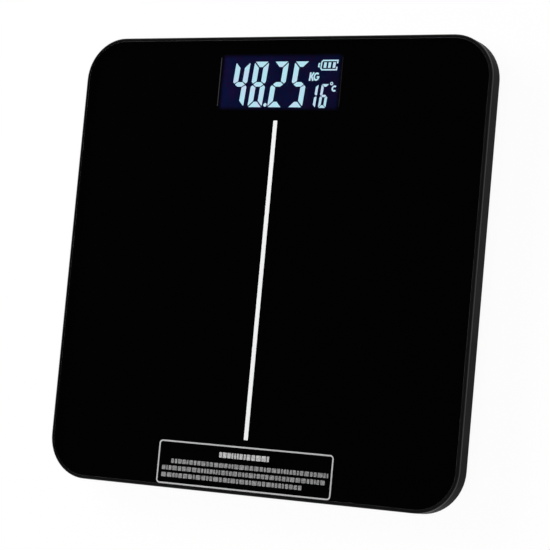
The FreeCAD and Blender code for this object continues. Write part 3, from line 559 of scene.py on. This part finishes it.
def node_looks():
    """A material for each of the record's slots."""
    return {
        "tray_plastic": tray_abs(),
        "platform_glass": clear_glass(),
        "display_glass": lit_panel(),
        "clear_acrylic": acrylic_guide(),
        "board_laminate": board_mask(),
        "sensor_glass": glass_bead(),
        "cell_jacket": cell_jacket(),
        "frame_plastic": moulded("frame_abs", (0.006, 0.006, 0.006), (0.011, 0.011, 0.011), 0.5),
        "white_film": moulded("reflector_film", (0.8, 0.8, 0.8), (0.88, 0.88, 0.87), 0.3, 3000.0, 0.003),
        "led_white": moulded("led_resin", (0.8, 0.74, 0.5), (0.88, 0.84, 0.62), 0.3, 4000.0, 0.004),
        "chip_epoxy": moulded("chip_epoxy", (0.006, 0.006, 0.006), (0.014, 0.014, 0.014), 0.18, 800.0,
                              0.03),
        "switch_plastic": moulded("switch_case", (0.02, 0.02, 0.02), (0.035, 0.035, 0.035), 0.45),
        "plunger_plastic": moulded("plunger", (0.2, 0.03, 0.02), (0.3, 0.05, 0.03), 0.4),
        "button_plastic": moulded("button_cap", (0.045, 0.045, 0.048), (0.07, 0.07, 0.074), 0.45,
                                  4200.0, 0.015),
        "foot_plastic": moulded("foot_cup", (0.008, 0.008, 0.009), (0.014, 0.014, 0.015), 0.45,
                                3600.0, 0.02, marks=0.04),
        "foam_tape": rubbery("foam_tape", (0.012, 0.012, 0.012), (0.03, 0.03, 0.03), 0.85, 1800.0),
        "black_foam": rubbery("gasket_foam", (0.008, 0.008, 0.008), (0.016, 0.016, 0.016), 0.9, 2200.0),
        "pad_rubber": rubbery("pad_rubber", (0.02, 0.02, 0.021), (0.045, 0.044, 0.043), 0.75),
        "zebra_rubber": rubbery("zebra", (0.25, 0.22, 0.17), (0.5, 0.45, 0.36), 0.6),
        "gauge_silicone": rubbery("gauge_seal", (0.62, 0.62, 0.58), (0.8, 0.8, 0.76), 0.45, 900.0),
        "wire_black": rubbery("ribbon_black", (0.012, 0.012, 0.012), (0.024, 0.024, 0.024), 0.45,
                              3000.0, 0.01),
        "wire_red": rubbery("wire_red", (0.32, 0.015, 0.01), (0.45, 0.03, 0.02), 0.42, 3000.0, 0.01),
        "screw_steel": metal("screw_zinc", (0.62, 0.62, 0.64), 0.3),
        "contact_nickel": metal("contact_nickel", (0.74, 0.71, 0.66), 0.22),
        "cell_steel": metal("cell_zinc", (0.6, 0.6, 0.58), 0.36),
        "board_parts": metal("board_parts", (0.5, 0.48, 0.44), 0.4),
    }


# ---------------------------------------------------------------- outlines, in millimetres

def arc(x, y, radius, start, end, steps=16):
    """Points on an arc between two angles in degrees, with both ends."""
    angles = [math.radians(start + (end - start) * i / steps) for i in range(steps + 1)]
    return [(x + radius * math.cos(angle), y + radius * math.sin(angle)) for angle in angles]


def circle(x, y, radius, count):
    return arc(x, y, radius, 0, 360 - 360 / count, count - 1)


def rounded(x0, x1, y0, y1, radius, steps=8):
    """A rectangle with round corners."""
    points = []
    for x, y, turn in ((x1 - radius, y1 - radius, 0), (x0 + radius, y1 - radius, 90),
                       (x0 + radius, y0 + radius, 180), (x1 - radius, y0 + radius, 270)):
        points += arc(x, y, radius, turn, turn + 90, steps)
    return points


def stroke(points, width):
    """A line drawn with a pen of one width, with mitred bends."""
    left, right = [], []
    for i, (x, y) in enumerate(points):
        before = Vector(points[i]) - Vector(points[i - 1]) if i else None
        after = Vector(points[i + 1]) - Vector(points[i]) if i + 1 < len(points) else None
        before = (before or after).normalized()
        after = (after or before).normalized()
        middle = (before + after).normalized()
        reach = width / 2 / max(MITRE_LEAST, middle.dot(before))
        side = Vector((-middle.y, middle.x)) * reach
        left.append((x + side.x, y + side.y))
        right.append((x - side.x, y - side.y))
    return left + right[::-1]


def slanted(points, x, y):
    """Points about (x, y), leant over as the display's figures are."""
    return [(x + px + py * SLANT, y + py) for px, py in points]


def plate(name, outlines, low, look):
    """A closed flat piece, one layer deep from a height up. An outline inside another is a hole."""
    curve = bpy.data.curves.new(name, "CURVE")
    curve.dimensions = "2D"
    curve.fill_mode = "BOTH"
    curve.extrude = LAYER / 2 * MM
    for points in outlines:
        line = curve.splines.new("POLY")
        line.points.add(len(points) - 1)
        for point, (x, y) in zip(line.points, points):
            point.co = (x * MM, y * MM, 0, 1)
        line.use_cyclic_u = True
    maker = bpy.data.objects.new(name + "_outline", curve)
    bpy.context.scene.collection.objects.link(maker)
    mesh = bpy.data.meshes.new_from_object(maker.evaluated_get(bpy.context.evaluated_depsgraph_get()))
    bpy.data.objects.remove(maker)
    bpy.data.curves.remove(curve)
    mesh.name = name
    shape = bmesh.new()
    shape.from_mesh(mesh)
    bmesh.ops.remove_doubles(shape, verts=shape.verts, dist=WELD * MM)
    bmesh.ops.dissolve_degenerate(shape, edges=shape.edges, dist=WELD / 10 * MM)
    bmesh.ops.recalc_face_normals(shape, faces=shape.faces)
    bmesh.ops.translate(shape, verts=shape.verts, vec=(0, 0, (low + LAYER / 2) * MM))
    shape.to_mesh(mesh)
    shape.free()
    mesh.materials.clear()
    mesh.materials.append(look)
    piece = bpy.data.objects.new(name, mesh)
    bpy.context.scene.collection.objects.link(piece)
    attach(piece, BODY)


# ---------------------------------------------------------------- print on the face

def front_print(name, outlines, look):
    """Print on the glass's front face."""
    plate(name, outlines, Z_TOP + FRONT_LIFT, look)


def on_glass_back(name, outlines, look):
    """Print on the glass's back, and the painted highlights beside the display window."""
    plate(name, outlines, Z_BACK + PRINT_LIFT, look)


def dashes(dice, x0, x1, y, height):
    """A row of broken dashes of uneven length."""
    row = []
    x = x0
    while x < x1 - DASH_LEAST:
        end = min(x1, x + dice.uniform(*DASH_LONG))
        row.append(rounded(x, end, y - height / 2, y + height / 2, DASH_CORNER, 2))
        x = end + dice.uniform(*DASH_GAP)
    return row


def make_label(inks_and_highlights):
    """A thin frame that holds a heading and rows of dashes."""
    low, high = LABEL_Y
    inner = LABEL_X - LABEL_PEN
    front_print("label_frame", [rounded(-LABEL_X, LABEL_X, low, high, LABEL_CORNER),
                                rounded(-inner, inner, low + LABEL_PEN, high - LABEL_PEN,
                                        LABEL_CORNER - LABEL_PEN)], inks_and_highlights["grey"])
    dice = random.Random(7)
    for name, *row in LABEL_ROWS:
        front_print(name, dashes(dice, *row), inks_and_highlights["heading" if name == "label_heading" else "rows"])


def make_print(inks_and_highlights):
    half = glass_hi.x - PRINT_SHORT
    on_glass_back("face_print", [rounded(-half, half, -half, half, GLASS_CORNER - PRINT_SHORT, 12),
                              rounded(*WINDOW, WINDOW_CORNER)], inks_and_highlights["black"])
    # painted highlights: a pale strip at each side of the window stands in for the display frame's edge
    # catching light, the left one brighter
    for side, x in (("left", WINDOW[0]), ("right", WINDOW[1] - WINDOW_HIGHLIGHT)):
        on_glass_back(f"window_edge_{side}", [rounded(x, x + WINDOW_HIGHLIGHT, *WINDOW_HIGHLIGHT_Y,
                                                  WINDOW_HIGHLIGHT_CORNER, 2)],
                   inks_and_highlights[f"edge_{side}"])
    front_print("centre_line", [rounded(-LINE_WIDTH / 2, LINE_WIDTH / 2, *LINE_Y, LINE_CORNER)],
                inks_and_highlights["white"])
    make_label(inks_and_highlights)


# ---------------------------------------------------------------- the display's figures

# the segments of each digit, by letter
LIT = {"1": "bc", "2": "abged", "4": "fgbc", "5": "afgcd", "6": "afgecd", "8": "abcdefg"}


def segment_shapes(width, height, pen, middle, gap):
    """The seven segments about the digit's centre. Ends are cut at 45 degrees, with the tips of the
    upright ones blunt."""
    w, h, half_middle = width / 2, height / 2, middle / 2
    cut = gap * math.sqrt(2) / 2
    inner = w - pen
    blunt = pen * 0.1                               # cut off an upright's outer corner
    tip = w - pen * 0.28                            # where two uprights meet
    bar_end = (tip - 1.3 * cut, half_middle * 0.15)
    top = [(-w + cut, h), (w - cut, h), (inner - cut, h - pen), (cut - inner, h - pen)]
    half_bar = [bar_end, (inner, half_middle), (-inner, half_middle), (-bar_end[0], bar_end[1])]
    side = [(w, h - cut - 2 * blunt), (w - blunt, h - cut - blunt), (inner, h - pen - cut),
            (inner, half_middle + cut), (tip, cut), (w, cut + pen * 0.3)]

    def flip_x(points):
        return [(-px, py) for px, py in points]

    def flip_y(points):
        return [(px, -py) for px, py in points]

    return {"a": top, "g": half_bar + flip_y(half_bar)[::-1], "d": flip_y(top), "b": side,
            "c": flip_y(side), "f": flip_x(side), "e": flip_x(flip_y(side))}


def digits(placed, ends, form):
    """The lit segments of a row of digits between two heights on the face."""
    low, high = ends
    shapes = segment_shapes(height=high - low, **form)
    return [slanted(shapes[letter], x, (low + high) / 2) for symbol, x in placed for letter in LIT[symbol]]


def degree_shapes():
    """The degree sign, and a C under it."""
    letter = stroke(arc(0, 0, C_RADIUS, 50, 310), C_PEN)
    return [circle(*DEGREE, radius, 24) for radius in DEGREE_RADII] + [slanted(letter, *DEGREE_C)]


def unit_shapes():
    """A K of three strokes and a G of two, each from its points and its pen."""
    middle = UNIT_HIGH / 2
    bowl = [(x, middle + (y - middle) * 1.25) for x, y in arc(5.15, middle, 1.65, 45, 360, 14)]
    strokes = (([(0.55, 0), (0.55, UNIT_HIGH)], 1.15),
               ([(1.1, 2.2), (2.9, UNIT_HIGH)], 1.15),
               ([(1.5, 3.0), (3.05, 0)], 1.15),
               (bowl, 1.05),
               ([(5.3, 2.4), (7.2, 2.4)], 0.95))
    return [slanted([(x * UNIT_NARROW, y) for x, y in stroke(points, pen)], *UNIT)
            for points, pen in strokes]


def battery_shapes():
    """A case that is open at its end, its nub, and three bars of charge."""
    case = stroke([(12.9, 4.4), (12.9, 6.3), (2.9, 6.3), (2.2, 5.4), (2.2, 1.5), (2.9, 0.6), (12.9, 0.6),
                   (12.9, 2.4)], 0.85)
    nub = stroke([(1.2, 4.6), (0.5, 4.2), (0.5, 2.6), (1.2, 2.2)], 0.9)
    low, high, wide = 1.75, 5.15, 1.8
    bars = [[(x, low), (x + wide, low), (x + wide, high), (x, high)] for x in (3.9, 6.9, 10.0)]
    return [slanted(shape, *BATTERY) for shape in [case, nub] + bars]


def make_display():
    look = lit_segments()

    def lit(name, outlines):
        plate(f"display_{name}", outlines, Z_LCD, look)

    lit("weight", digits(BIG_DIGITS, BIG_Y, BIG_FORM))
    lit("point", [slanted(circle(0, 0, POINT_RADIUS, 12), *POINT)])
    lit("temperature", digits(SMALL_DIGITS, SMALL_Y, SMALL_FORM))
    lit("degree", degree_shapes())
    for i, shape in enumerate(unit_shapes()):       # apart, because the strokes cross
        lit(f"unit_{i}", [shape])
    lit("battery", battery_shapes())


# ---------------------------------------------------------------- load cells

def load_plate(corner, look):
    """A load cell with its stamped edges rolled."""
    node = f"load_cell_{corner}"
    shape = bmesh.new()
    shape.from_mesh(nodes[node].data)
    bmesh.ops.remove_doubles(shape, verts=shape.verts, dist=WELD * MM)
    bmesh.ops.dissolve_limit(shape, angle_limit=FLAT, verts=shape.verts, edges=shape.edges)
    edges = [e for e in shape.edges if e.is_manifold and e.calc_face_angle() > SHARP]
    bmesh.ops.bevel(shape, geom=edges, offset=PLATE_EDGE * MM, segments=2, affect="EDGES", profile=0.5)
    bmesh.ops.triangulate(shape, faces=shape.faces)
    mesh = bpy.data.meshes.new(f"load_plate_{corner}")
    shape.to_mesh(mesh)
    shape.free()
    mesh.materials.append(look)
    piece = bpy.data.objects.new(mesh.name, mesh)
    bpy.context.scene.collection.objects.link(piece)
    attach(piece, BODY)
    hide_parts(node)
    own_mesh(piece)


# ---------------------------------------------------------------- floor, world and lamps, in metres

FLOOR_HALF = 6.0
FLOOR_DROP = 0.00005            # under the feet, so the two faces don't coincide
FLOOR_FADE = (0.18, 0.8)        # from the middle, where the floor turns white
FLOOR_LIFT = 0.96
SKY_EDGE = (0.05, 1.0)          # height on the sky's ball, and brightness, where it starts to darken
SKY_TOP = (0.62, 0.012)         # the same where it is darkest
SKY_LIGHT = 0.3                 # share of that brightness with which it lights the scale
# name, place, size, and power in watts; the key is low, from the left and behind
LAMPS = (("softbox_key", (-1.5, 0.8, 0.95), (1.5, 0.9), 50.0),
         ("softbox_top", (0.1, -0.2, 2.0), (1.0, 1.0), 15.0),
         ("softbox_fill", (0.2, -1.5, 1.5), (1.4, 0.9), 3.0))


def seen_directly(t):
    """1 where the camera, a reflection or clear glass shows the background."""
    path = t.node("ShaderNodeLightPath")
    return t.math("MAXIMUM", path.outputs["Is Camera Ray"],
                  t.math("MAXIMUM", path.outputs["Is Glossy Ray"], path.outputs["Is Transmission Ray"]))


def make_floor():
    """Pale paper. Seen directly it is lifted towards white, less so near the scale, where it keeps the
    shadow."""
    look, t = new_look("floor_paper")
    lifted = t.range(t.length(*t.xyz()[:2]), *FLOOR_FADE, FLOOR_LIFT, 1.0, smooth=True)
    paper = t.node("ShaderNodeBsdfDiffuse",
                   {"Color": t.mix(t.noise(40.0, 2.0), (0.92, 0.92, 0.92), (0.95, 0.95, 0.95))})
    glow = t.node("ShaderNodeEmission", {"Color": (1, 1, 1), "Strength": 1.0})
    both = t.node("ShaderNodeMixShader", {0: t.times(seen_directly(t), lifted), 1: paper.outputs[0],
                                          2: glow.outputs[0]})
    t.surface(both.outputs[0])
    mesh = bpy.data.meshes.new("floor")
    corners = [(x * FLOOR_HALF, y * FLOOR_HALF, -FLOOR_DROP)
               for x, y in ((-1, -1), (1, -1), (1, 1), (-1, 1))]
    mesh.from_pydata(corners, [], [(0, 1, 2, 3)])
    mesh.materials.append(look)
    floor = bpy.data.objects.new("floor", mesh)
    bpy.context.scene.collection.objects.link(floor)


def make_world():
    """White round the horizon and dark overhead; it lights the scale far less than it shows."""
    world = bpy.data.worlds.new("studio")
    bpy.context.scene.world = world
    t = Tree(world)
    z = t.split(t.node("ShaderNodeTexCoord").outputs["Generated"])[2]
    level = t.range(z, SKY_EDGE[0], SKY_TOP[0], SKY_EDGE[1], SKY_TOP[1], smooth=True)
    level = t.times(level, t.range(seen_directly(t), 0.0, 1.0, SKY_LIGHT, 1.0))
    sky = t.node("ShaderNodeBackground", {"Color": (1, 1, 1), "Strength": level})
    out = t.node("ShaderNodeOutputWorld")
    t.tree.links.new(sky.outputs[0], out.inputs["Surface"])


def softbox(name, place, size, power):
    """A square-cornered area lamp aimed at the scale; neither the camera nor a reflection shows it."""
    lamp = bpy.data.lights.new(name, "AREA")
    lamp.shape = "RECTANGLE"
    lamp.size, lamp.size_y = size
    lamp.energy = power
    box = bpy.data.objects.new(name, lamp)
    bpy.context.scene.collection.objects.link(box)
    box.location = place
    box.rotation_mode = "QUATERNION"
    box.rotation_quaternion = (-Vector(place)).to_track_quat("-Z", "Y")
    box.visible_camera = False
    box.visible_glossy = False
    box.visible_transmission = False


# ---------------------------------------------------------------- the scene

make_camera()
looks = node_looks()
slot_of = {part["node"]: part["material_slot"] for part in frame["record"]["subparts"]}
for name, node in nodes.items():
    for place in node.material_slots:
        place.material = looks[slot_of[name]]
nodes["glass_platform"].visible_shadow = False

make_print({
    "black": ink_and_highlight_look("ink_black", (0.0003, 0.0003, 0.00033), (0.0005, 0.0005, 0.00055)),
    "white": ink_and_highlight_look("ink_white", (0.84, 0.85, 0.86), (0.9, 0.9, 0.9)),
    "grey": ink_and_highlight_look("ink_grey", (0.44, 0.44, 0.44), (0.52, 0.52, 0.52)),
    # painted highlights for the window's edges, brighter on the left where the frame's edge catches the
    # light
    "edge_left": ink_and_highlight_look("painted_highlight_left", (0.035, 0.035, 0.04), (0.06, 0.055, 0.065)),
    "edge_right": ink_and_highlight_look("painted_highlight_right", (0.008, 0.008, 0.01), (0.016, 0.015, 0.018)),
    "heading": dash_ink("ink_heading", 0.34, 0.6),
    "rows": dash_ink("ink_rows", 0.15, 0.34),
})
make_display()
for corner in ("front_left", "front_right", "back_left", "back_right"):
    load_plate(corner, looks["cell_steel"])

make_floor()
make_world()
for lamp in LAMPS:
    softbox(*lamp)
bpy.context.scene.view_settings.view_transform = "Standard"
